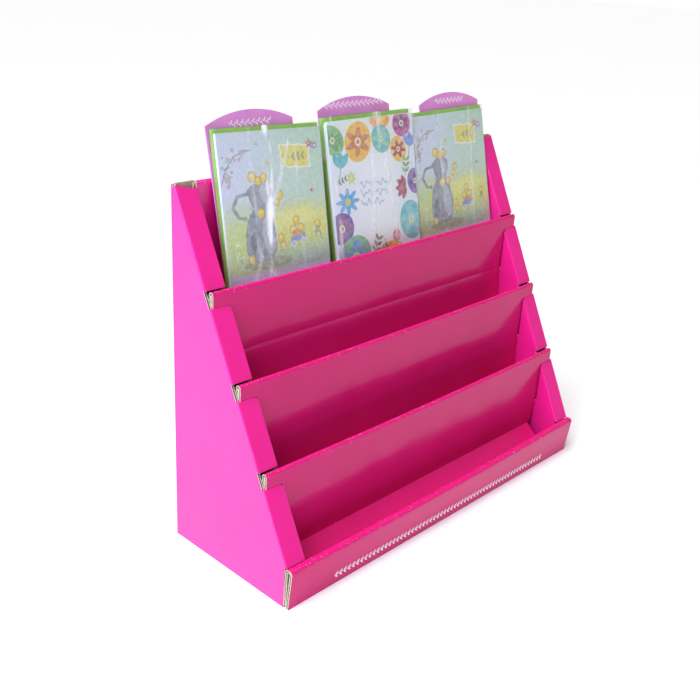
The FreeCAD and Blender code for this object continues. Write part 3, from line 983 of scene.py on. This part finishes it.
def print_picture(name, body, place, shapes, lift=-0.06 * MM):
    """Lay flat shapes on a face: each is (outline, ink hex). Later shapes lie on earlier ones."""
    wide, tall = (half / MM - PICTURE_MARGIN for half in (place.half_width, place.half_height))
    codes = sorted({code for _, code in shapes})
    verts, faces, slots, laid = [], [], [], []
    for outline, code in shapes:
        outline = [(min(max(u, -wide), wide), min(max(v, -tall), tall)) for u, v in outline]
        across, up = zip(*outline)
        box = (min(across), max(across), min(up), max(up))
        below = [level for other, level in laid if box[0] < other[1] and box[1] > other[0]
                 and box[2] < other[3] and box[3] > other[2]]
        level = 1 + max(below, default=-1)
        laid.append((box, level))
        triangles = flat_faces(outline, len(verts))
        faces += triangles
        slots += [codes.index(code)] * len(triangles)
        height = place.half_depth + lift + level * LEVEL_STEP
        verts += [place.at(u * MM, v * MM, height) for u, v in outline]
    mesh = bpy.data.meshes.new(name)
    mesh.from_pydata(verts, [], faces)
    mesh.polygons.foreach_set("material_index", slots)
    for code in codes:
        if code not in inks:
            inks[code] = ink(code)
    make_object(name, mesh, body, [inks[code] for code in codes])
    print(name, len(shapes), "shapes on", 1 + max(level for _, level in laid), "levels")


# %% [markdown]
# ## The garden card
# The outer packs show a garden: pale blue green air, a yellow meadow, a tall grey jug of
# yellow flowers, a blue cart of gourds, a blossoming branch and a lilac lace border.

# %% Picture of the garden card
def sprig(u, v, length, turn, code, stem="7E8468"):
    """A stem with pairs of leaves."""
    tip = turned([(length, 0)], u, v, turn)[0]
    shapes = [(stroke([(u, v), tip], 0.5), stem)]
    for i in (0.3, 0.6, 0.9):
        at = (u + (tip[0] - u) * i, v + (tip[1] - v) * i)
        shapes += [(leaf(*at, length * 0.32, length * 0.14, turn + side), code) for side in (-48, 48)]
    return shapes


def pompom(u, v, radius):
    """A round yellow flower head with a darker rim."""
    light = ellipse(u - radius * 0.2, v + radius * 0.3, radius * 0.35, radius * 0.3)
    return [(ellipse(u, v, radius, radius * 1.06), "B99A3C"),
            (ellipse(u, v, radius * 0.84, radius * 0.9), "E6C94E"), (light, "F3E08A")]


def label_outline(grow):
    """A label with a wavy edge, a little askew."""
    points = []
    for i in range(48):
        a = 2 * math.pi * i / 48
        wave = 1 + 0.06 * math.cos(10 * a)
        square = max(abs(math.cos(a)), abs(math.sin(a)))
        u, v = (17 + grow) * wave * math.cos(a) / square, (12 + grow) * wave * math.sin(a) / square
        points.append((28 + u, 57 + v - 0.08 * u))
    return points


def garden_shapes(seed):
    dice = random.Random(seed)
    side, foot = CARD_ACROSS / 2, -CARD_TALL / 2
    lace = [(-side, foot), (side, foot)]
    lace += [(side - CARD_ACROSS * i / 40, -72 + 1.2 * (i % 2)) for i in range(41)]
    shapes = [(lace, "D3C6E6")]
    for i in range(14):
        shapes += [disc(-58 + i * 9, -76.5, 0.6, "B7A6D2", 10),
                   disc(-54 + i * 9, -81.5, 0.6, "B7A6D2", 10)]
    branch = [(-62, 32), (-58, 44), (-52, 55), (-44, 63), (-34, 67), (-26, 68)]
    shapes += [(stroke(branch, 0.9), "6F6B66"),
               (stroke([(-60, 38), (-54, 41), (-49, 40)], 0.6), "6F6B66")]
    for _ in range(30):
        u, v = dice.choice(branch)
        u, v = u + dice.uniform(-7, 9), v + dice.uniform(-7, 8)
        if u > -62:
            shapes.append((blossom(u, v, dice.uniform(1.4, 2.9), 5, 0.4, dice.uniform(0, 90)),
                           dice.choice(("C7A3A8", "D5B6BC", "A9B7AE", "96A89C"))))
    # the jug: a shadow, a dark edge, the handle, the body, and its light and dark sides
    jug = [(-34, -58), (-9, -58), (-4, -46), (-3, -28), (-7, -10), (-13, 2), (-8, 14), (-7, 26),
           (-16, 31), (-27, 30), (-34, 24), (-31, 12), (-28, 3), (-36, -10), (-40, -28), (-40, -46)]
    handle = [(-33, 20), (-46, 18), (-52, 6), (-46, -6), (-37, -8)]
    shapes += [(ellipse(-16, -62, 30, 5.5), "9FA887"), ([(u - 0.6, v - 0.6) for u, v in jug], "6A6E79"),
               (stroke(handle, 4.2), "8F939D"), (jug, "9094A0"),
               (ellipse(-13, -30, 7, 22, 4), "B4B8C2"), (ellipse(-33, -40, 4, 16, -8), "747884"),
               (ellipse(-15, 18, 4.5, 10, 8), "B9BDC6")]
    for i in range(26):
        u, v = dice.uniform(-37, -8), dice.uniform(-52, 22)
        shapes.append((stroke([(u, v), (u + 2.2, v - 3.6)], 0.45),
                       dice.choice(("8B8F9A", "9599A4", "B4B8C1"))))
    for head in ((-27, 38, 5.0), (-20, 33, 4.0), (-13, 36, 4.4), (5, 14, 4.2), (1, 6, 3.6),
                 (-20, -4, 4.6), (-9, -3, 4.4), (-36, -55, 4.0)):
        shapes += pompom(*head)
    # the label, left blank but for a sprig, and two flowers at its corner
    shapes += [(label_outline(1.6), "F2F1EE"), (label_outline(0.0), "E5D95A")]
    shapes += sprig(18, 56, 20, 2, "A9AA62")
    shapes += [(blossom(47, 70, 4.6, 5, 0.5), "C0646A"), disc(47, 70, 1.3, "E6C94E"),
               (blossom(54, 67, 4.4, 6, 0.35), "9C97C4"), disc(54, 67, 1.3, "E8E2EE")]
    # the cart of gourds, smaller gourds beside it, and flowers in the grass
    shapes += [(stroke([(4, -2), (12, 5), (24, 8), (36, 8)], 0.4), "A9A79A"),
               ([(14, -43), (33, -40.5), (33, -34.5), (14, -37)], "7E95C9")]
    for u, v in ((17.5, -45), (30.5, -42.5)):
        shapes += [disc(u, v, 2.9, "F0F0F2"), disc(u, v, 1.9, "8C96AE"), disc(u, v, 0.9, "F0F0F2")]
    for gourd in ((18, -29, 4.6), (28, -28, 4.6), (22.5, -18, 4.4), (2, -36, 4.4), (4, -45, 4.2),
                  (50, -26, 4.2)):
        shapes += pompom(*gourd)
    shapes.append((ellipse(22.5, -33, 7, 3), "D98F45"))
    shapes += sprig(46, -40, 11, 70, "8E9A5E") + sprig(54, -42, 9, 110, "8E9A5E")
    for i in range(46):
        u = dice.uniform(-60, -40) if i % 2 else dice.uniform(-56, 58)
        v = dice.uniform(-66, -30)
        code = dice.choice(("E6D65C", "F3F1EC", "8FA0D2", "E2B64E", "D9E08A"))
        shapes.append(disc(u, v, 1.0, code, 10))
    return shapes + [(blossom(46, 15, 2.4, 4, 0.5), "C2696C"), (blossom(-7, 52, 2.8, 4, 0.5), "DCC65A")]


garden_face = washed_face("printed_garden_card", "B9D4BC", [
    (0.10, 0.74, 0.30, 0.36, 0.7, "D6DAEF", 1.0), (0.5, 0.66, 0.26, 0.24, 0.8, "C6DCCB", 0.7),
    (0.52, 0.36, 0.3, 0.15, 0.35, "DCDD6E", 0.9), (0.12, 0.28, 0.2, 0.22, 0.4, "C9D67E", 0.9),
    (0.3, 0.15, 0.5, 0.1, 0.5, "B7CC94", 0.8), (0.5, 0.42, 0.14, 0.05, 0.5, "EDE58B", 0.7),
    (0.62, 0.12, 0.24, 0.06, 0.5, "A9C8BE", 0.7)])

# %% [markdown]
# ## The painted card
# The middle pack shows a white card with a wide painted border of eggs and flowers around a
# blue pen flourish. Each egg is an ellipse in its ink with a pattern inside: a star flower,
# spots or leaves.

# %% Picture of the painted card
def spot(across, down):
    """A place on the card from its shares of the width and of the height, from the top left."""
    return (across - 0.5) * CARD_ACROSS, (0.5 - down) * CARD_TALL


def painted_egg(across, down, wide, tall, code, flower, petals=8, turn=0.0):
    u, v = spot(across, down)
    reach = min(wide, tall) * 0.98
    return [(ellipse(u, v, wide, tall, turn), code),
            (blossom(u, v, reach, petals, 0.55, 90 + turn), flower),
            disc(u, v, reach * 0.24, "EFE3B0"), disc(u, v, reach * 0.12, flower)]


def tulip(across, down, size, code):
    u, v = spot(across, down)
    return [(stroke([(u, v), (u - size * 0.3, v - size * 1.5)], 0.9), "6E8F58")] + [
        (leaf(u, v - size * 0.4, size * 1.3, size * 0.55, turn), code) for turn in (60, 120, 90)]


def painted_shapes(seed):
    dice = random.Random(seed)
    shapes = []
    for egg in ((0.05, 0.13, 15, 19, "7FBF74", "5FA35E", 4, 20),
                (0.33, 0.16, 19, 25, "F4BC35", "CF7838", 6, -8),
                (0.60, 0.03, 15, 10, "F2A63C", "F7C960", 5),
                (0.60, 0.16, 14, 18, "6FBDB8", "8FCDB4", 5, 10),
                (0.86, 0.07, 14, 17, "CC5C9C", "8C3F86", 6),
                (0.80, 0.25, 12, 17, "F2BE45", "A93A4B", 6, 15)):
        shapes += painted_egg(*egg)
    shapes += tulip(0.95, 0.21, 15, "7C9ADB") + tulip(0.12, 0.29, 16, "4FBBC0")
    shapes += sprig(*spot(0.86, 0.46), 24, 82, "7DAE6A") + sprig(*spot(0.04, 0.43), 16, 20, "6E8F58")
    shapes += [(blossom(*spot(0.16, 0.56), 17, 8, 0.5), "5AA9E0"), disc(*spot(0.16, 0.56), 4, "C9CF5A"),
               (blossom(*spot(0.22, 0.40), 7, 7, 0.4), "C6DC8E"), disc(*spot(0.22, 0.40), 2, "F0E28A")]
    shapes += painted_egg(0.07, 0.74, 17, 20, "7A55A4", "9A5A93", 4, -6)
    shapes += painted_egg(0.98, 0.50, 12, 17, "8C62B0", "6E4A98", 4, 6)
    for turn in (110, 145, 180, 215, 250):
        shapes.append((leaf(*spot(0.86, 0.53), 17, 7, turn), "B04A5C"))
    shapes += painted_egg(0.90, 0.78, 18, 26, "62C0C4", "8FD0CE", 5, 4)
    shapes += painted_egg(0.20, 0.96, 23, 28, "7FC09A", "67AEDD", 4, -10)
    shapes += painted_egg(0.62, 0.97, 20, 12, "F4BC35", "E08A34", 6, 0)
    shapes += sprig(*spot(0.40, 0.99), 26, 66, "6E7A48") + sprig(*spot(0.46, 0.99), 18, 40, "6E7A48")
    shapes += painted_egg(0.70, 0.87, 6, 8, "CC5C6C", "E0909C", 4)
    for _ in range(70):
        across, down = dice.random(), dice.random()
        if abs(across - 0.5) > 0.33 or abs(down - 0.5) > 0.38:
            u, v = spot(across, down)
            shapes.append((ellipse(u, v, dice.uniform(0.5, 1.3), dice.uniform(0.5, 1.3), count=10),
                           dice.choice(("4E6FAE", "BE4783", "E9BD45", "6E8F58", "F1EBD8"))))
    for line in range(3):
        flourish = []
        for i in range(60 - 8 * line):
            sway = 4.2 * math.sin(i * 0.62 + line) * math.sin(i * 0.19 + line)
            flourish.append((-24 + i * 0.8, 8 - 12 * line + sway - i * 0.03))
        shapes.append((stroke(flourish, 0.9), "6FA4CF"))
    return shapes


painted_face = washed_face("printed_painted_card", "F2F2F5", [
    (0.36, 0.95, 0.5, 0.2, 0.5, "E7EBDD", 0.8), (0.65, 0.5, 0.14, 0.5, 0.6, "E3E9EE", 0.8),
    (0.06, 0.4, 0.14, 0.5, 0.6, "E6E6F0", 0.8)])

# %% [markdown]
# A picture needs few layers. Each shape lies one step above the earlier shapes that it could
# touch, so a card with hundreds of shapes is only about a tenth of a millimetre deep.

# %% Print the three front cards
LARGEST_WHOLE = 14         # mm; shapes up to this height aren't squeezed


def raised(shapes):
    """Fit a picture into the part of the card that shows above the tier in front.

    Small shapes are moved whole, so that round things stay round. Large ones are squeezed."""
    result = []
    top = CARD_TALL / 2
    for outline, code in shapes:
        heights = [v for _, v in outline]
        middle = (min(heights) + max(heights)) / 2
        squeeze = SHOWN if max(heights) - min(heights) > LARGEST_WHOLE else 1.0
        centre = top - (top - middle) * SHOWN
        result.append(([(u, centre + (v - middle) * squeeze) for u, v in outline], code))
    return result


def card_front(name, body, place, radius, material):
    """The printed side of the front card, with a UV map where 1 is the card's height."""
    outline = rounded_outline(place.half_width - SLIP_ROOM, place.half_height - SLIP_ROOM, radius)
    mesh = bpy.data.meshes.new(name)
    verts = [place.at(u, v, place.half_depth - 0.08 * MM) for u, v in outline]
    mesh.from_pydata(verts, [], [list(range(len(outline)))])
    uv = mesh.uv_layers.new(name="card")
    for loop in mesh.loops:
        u, v = outline[loop.vertex_index]
        uv.data[loop.index].uv = ((u + CARD_WIDTH / 2) / CARD_HEIGHT,
                                  (v + CARD_HEIGHT / 2) / CARD_HEIGHT)
    return make_object(name, mesh, body, [material])


for number in (1, 2, 3):
    body, place = f"pack_{number}", card_frames[number]
    face, shapes = garden_face, garden_shapes(5)
    if number == 2:
        face, shapes = painted_face, painted_shapes(7)
    card_front(f"{body}_front_card", body, place, CARD_CORNERS[number], face)
    print_picture(f"{body}_picture", body, place, raised(shapes))

# %% [markdown]
# ## Sleeves and tabs
# A sleeve is one film surface around the pack: a tube with a round-cornered section, closed at
# both ends. Its film is slack by up to a quarter of a millimetre, in long wrinkles that run
# up the pack, so that the gloss breaks into streaks. The tab behind is a plain card with a
# printed garland where a category name would be.

# %% Sleeves, garlands on the tabs
SLEEVE_ROWS = 46
FILM_STEP = 2.5 * MM
FILM_SLACK = 0.25 * MM
PRINT_LIFT = 0.12 * MM     # how far a printed row stands off a curved or packed face
# each painted glare streak: place across, lean, half width and foot in mm, and how white it is
PAINTED_GLARE_STREAKS = {
    1: ((-9, 0.03, 3.6, -48, 0.95), (-26, 0.0, 1.6, -30, 0.35), (30, -0.02, 1.6, -80, 0.3),
        (-12, 0.45, 1.3, -88, 0.5)),
    2: ((-6, 0.10, 2.2, -80, 0.4), (22, -0.12, 2.0, -80, 0.35), (-58, 0.0, 1.6, -85, 0.5),
        (8, 0.0, 1.4, 40, 0.6)),
    3: ((-18, 0.02, 1.6, -60, 0.35), (34, 0.05, 1.6, -80, 0.3), (-60, 0.0, 1.5, -85, 0.4))}


def painted_glare_at(number, u, v):
    """How white the painted glare makes the front film at a place in mm."""
    whites = [0.0]
    for at, lean, reach, foot, white in PAINTED_GLARE_STREAKS[number]:
        off = abs(u - at - lean * v)
        if off < 2 * reach and v > foot:
            whites.append(white * min(1.0, (2 * reach - off) / reach))
    return max(whites)


def sleeve(number):
    body, place = f"pack_{number}", sleeve_frames[number]
    section = rounded_outline(place.half_width, place.half_depth, 1.2 * MM)
    fine_section = []
    for (u0, w0), (u1, w1) in zip(section, section[1:] + section[:1]):
        steps = max(1, round(math.hypot(u1 - u0, w1 - w0) / FILM_STEP))
        fine_section += [(u0 + (u1 - u0) * i / steps, w0 + (w1 - w0) * i / steps) for i in range(steps)]
    rows, size = SLEEVE_ROWS, len(fine_section)
    verts, painted_glare_values = [], []
    for row_number in range(rows):
        v = place.half_height * (2 * row_number / (rows - 1) - 1)
        for u, w in fine_section:
            front = 1 if w > 0 else 0
            wave = noise.noise(Vector((u / (9 * MM), v / (60 * MM), 3.0 * number + front)))
            slack = min(max(0.5 + 0.5 * wave, 0.0), 1.0) * FILM_SLACK
            scale = 1 - slack / max(abs(w), place.half_depth * 0.5)
            verts.append(place.at(u, v, w * scale))
            # painted glare: the front film gets white streaks at the listed places
            painted_glare_values.append(painted_glare_at(number, u / MM, v / MM) if front else 0.0)
    faces = [list(range(size))[::-1], [(rows - 1) * size + i for i in range(size)]]
    for row_number in range(rows - 1):
        for i in range(size):
            a, b = row_number * size + i, row_number * size + (i + 1) % size
            faces.append((a, b, b + size, a + size))
    mesh = bpy.data.meshes.new(f"{body}_film")
    mesh.from_pydata(verts, [], faces)
    bm = bmesh.new()
    bm.from_mesh(mesh)
    bmesh.ops.recalc_face_normals(bm, faces=bm.faces)
    bm.to_mesh(mesh)
    bm.free()
    mesh.attributes.new("crease", "FLOAT", "POINT").data.foreach_set("value", painted_glare_values)
    mesh.polygons.foreach_set("use_smooth", [True] * len(mesh.polygons))
    mesh.set_sharp_from_angle(angle=math.radians(50))
    piece = make_object(f"{body}_film", mesh, body, [film])
    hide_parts(f"{body}_sleeve")


GARLANDS = {1: (23, 11.5), 2: (40, 7.0), 3: (23, 8.5)}    # half length and drop, in mm
GARLAND_INK = "F1D9EC"
for number in (1, 2, 3):
    sleeve(number)
    body = f"tab_{number}"
    mesh = frame["nodes"][body].data
    mesh.materials.clear()
    mesh.materials.append(tab_card)
    place = LeaningFrame(body, body)
    reach, drop = GARLANDS[number]
    level = place.half_height / MM - drop
    shapes = []
    count = round(reach / 3.2)
    for i in range(-count, count + 1):
        u, odd = reach * i / count, i % 2
        shapes += [(leaf(u, level, 4.2, 1.7, 62 if odd else -62), GARLAND_INK),
                   (leaf(u, level, 3.0, 1.3, 150 if odd else 210), GARLAND_INK),
                   disc(u, level, 0.6, GARLAND_INK, 10)]
    print_picture(f"{body}_garland", body, place, shapes, lift=PRINT_LIFT)

# %% [markdown]
# ## Garland on the lip
# The lip carries one printed white row, a running garland of paired leaves on a stem. One
# motif is repeated along the lip by the same tree as the piles, and the row is then laid on
# the lip, which leans and bows.

# %% The printed row on the lip
row_ink = coated_paper("white_ink_on_gloss_film", "F7EFF3", "F1E3EB", 0.3, 12 * MM, 0.1)
MOTIF_LENGTH = 11.6        # in mm
ROW_START, ROW_END, ROW_HEIGHT = -172 * MM, 172 * MM, 10.5 * MM
outlines = [stroke([(0, 0), (MOTIF_LENGTH, 0)], 0.6)]
for u in (0.8, 6.6):
    outlines += [leaf(u, 0.2, 5.2, 2.0, 40), leaf(u, -0.2, 5.2, 2.0, -40)]
verts, faces = [], []
for outline in outlines:
    faces += flat_faces(outline, len(verts))
    verts += [(u * MM, 0, v * MM) for u, v in outline]
motif = bpy.data.meshes.new("garland_motif")
motif.from_pydata(verts, [], faces)
pitch = MOTIF_LENGTH * MM
values = {"Count": int((ROW_END - ROW_START) / pitch) + 1, "Step": [pitch, 0, 0],
          "Slip": [0.0, 0.0, 0.0], "Material": row_ink}
garland = grown("lip_garland", motif, repeats, repeat_keys, values, "shell")
for vert in garland.data.vertices:
    x, z = ROW_START + vert.co.x, ROW_HEIGHT + vert.co.z
    face_y = FRONT + (LIP_FACE - FRONT) * z / (LIP_TOP - ROLL_RADIUS)
    vert.co = Vector((x, face_y - PRINT_LIFT, z)) + lip_bow(x, z)

# %% [markdown]
# ## Floor, light and camera
# The display stands on a pale sweep in a white room. A large cool window on the left makes
# the side wall the brightest face and puts soft bands on the gloss film. A wide weak sun,
# high and slightly behind, lights the floor evenly and leaves the front faces in soft shade.

# %% Floor, light and camera
def floor_sheet():
    material, tree, place = new_material("white_paper_sweep")
    tone = blend_colours(tree, speckle(tree, place, 400 * MM, 2.0), "F9F9F9", "FCFCFC")
    finish_solid(tree, tone, 0.6)
    bm = bmesh.new()
    bmesh.ops.create_grid(bm, x_segments=4, y_segments=4, size=12)
    bmesh.ops.translate(bm, verts=bm.verts, vec=(0, 0, -0.1 * MM))
    floor = put_in_scene("floor", mesh_of(bm, "floor"))
    floor.data.materials.append(material)


def lamp(name, kind, power, direction, place=(0, 0, 0)):
    light = bpy.data.lights.new(name, kind)
    light.energy = power
    holder = put_in_scene(name, light)
    holder.location = place
    holder.rotation_euler = Vector(direction).to_track_quat("-Z", "Y").to_euler()
    return light


floor_sheet()
WINDOW_PLACE, WINDOW_TARGET = Vector((-1.25, 0.0, 0.95)), Vector((-0.05, 0, 0.2))
window = lamp("left_window", "AREA", 24, WINDOW_TARGET - WINDOW_PLACE, WINDOW_PLACE)
window.shape = "RECTANGLE"
window.size = window.size_y = 1.0
window.color = linear("CCD8FF")[:3]
lamp("high_window", "SUN", 3.0, (0.4, 0.06, -0.9)).angle = math.radians(40)
world = bpy.data.worlds.new("white_room")
world.use_nodes = True
room = world.node_tree
room.nodes.clear()
fill, seen = (add(room, "ShaderNodeBackground", {"Color": linear("FFFFFF"), "Strength": strength})
              for strength in (0.26, 1.0))
eye = add(room, "ShaderNodeLightPath").outputs["Is Camera Ray"]
both = blend_shaders(room, eye, fill, seen)
add(room, "ShaderNodeOutputWorld", {"Surface": both.outputs[0]})
bpy.context.scene.world = world
bpy.context.scene.view_settings.view_transform = "Standard"

CAMERA_PLACE = Vector((-0.7142, -0.5845, 0.5555))
CAMERA_BEARING = math.radians(47.39)     # from straight back towards the right
CAMERA_DROP = math.radians(23.08)
CAMERA_ROLL = math.radians(3.45)
LENS = 48.98                             # on a 36 mm wide film

ahead = Vector((math.sin(CAMERA_BEARING) * math.cos(CAMERA_DROP),
                math.cos(CAMERA_BEARING) * math.cos(CAMERA_DROP), -math.sin(CAMERA_DROP)))
level = ahead.cross(Vector((0, 0, 1))).normalized()
upright = level.cross(ahead)
right_way = math.cos(CAMERA_ROLL) * level + math.sin(CAMERA_ROLL) * upright
up_way = math.cos(CAMERA_ROLL) * upright - math.sin(CAMERA_ROLL) * level
camera = put_in_scene("camera", bpy.data.cameras.new("camera"))
turn = Matrix((right_way, up_way, -ahead)).transposed()
camera.matrix_world = Matrix.Translation(CAMERA_PLACE) @ turn.to_4x4()
camera.data.lens = LENS
camera.data.sensor_width = 36
bpy.context.scene.camera = camera
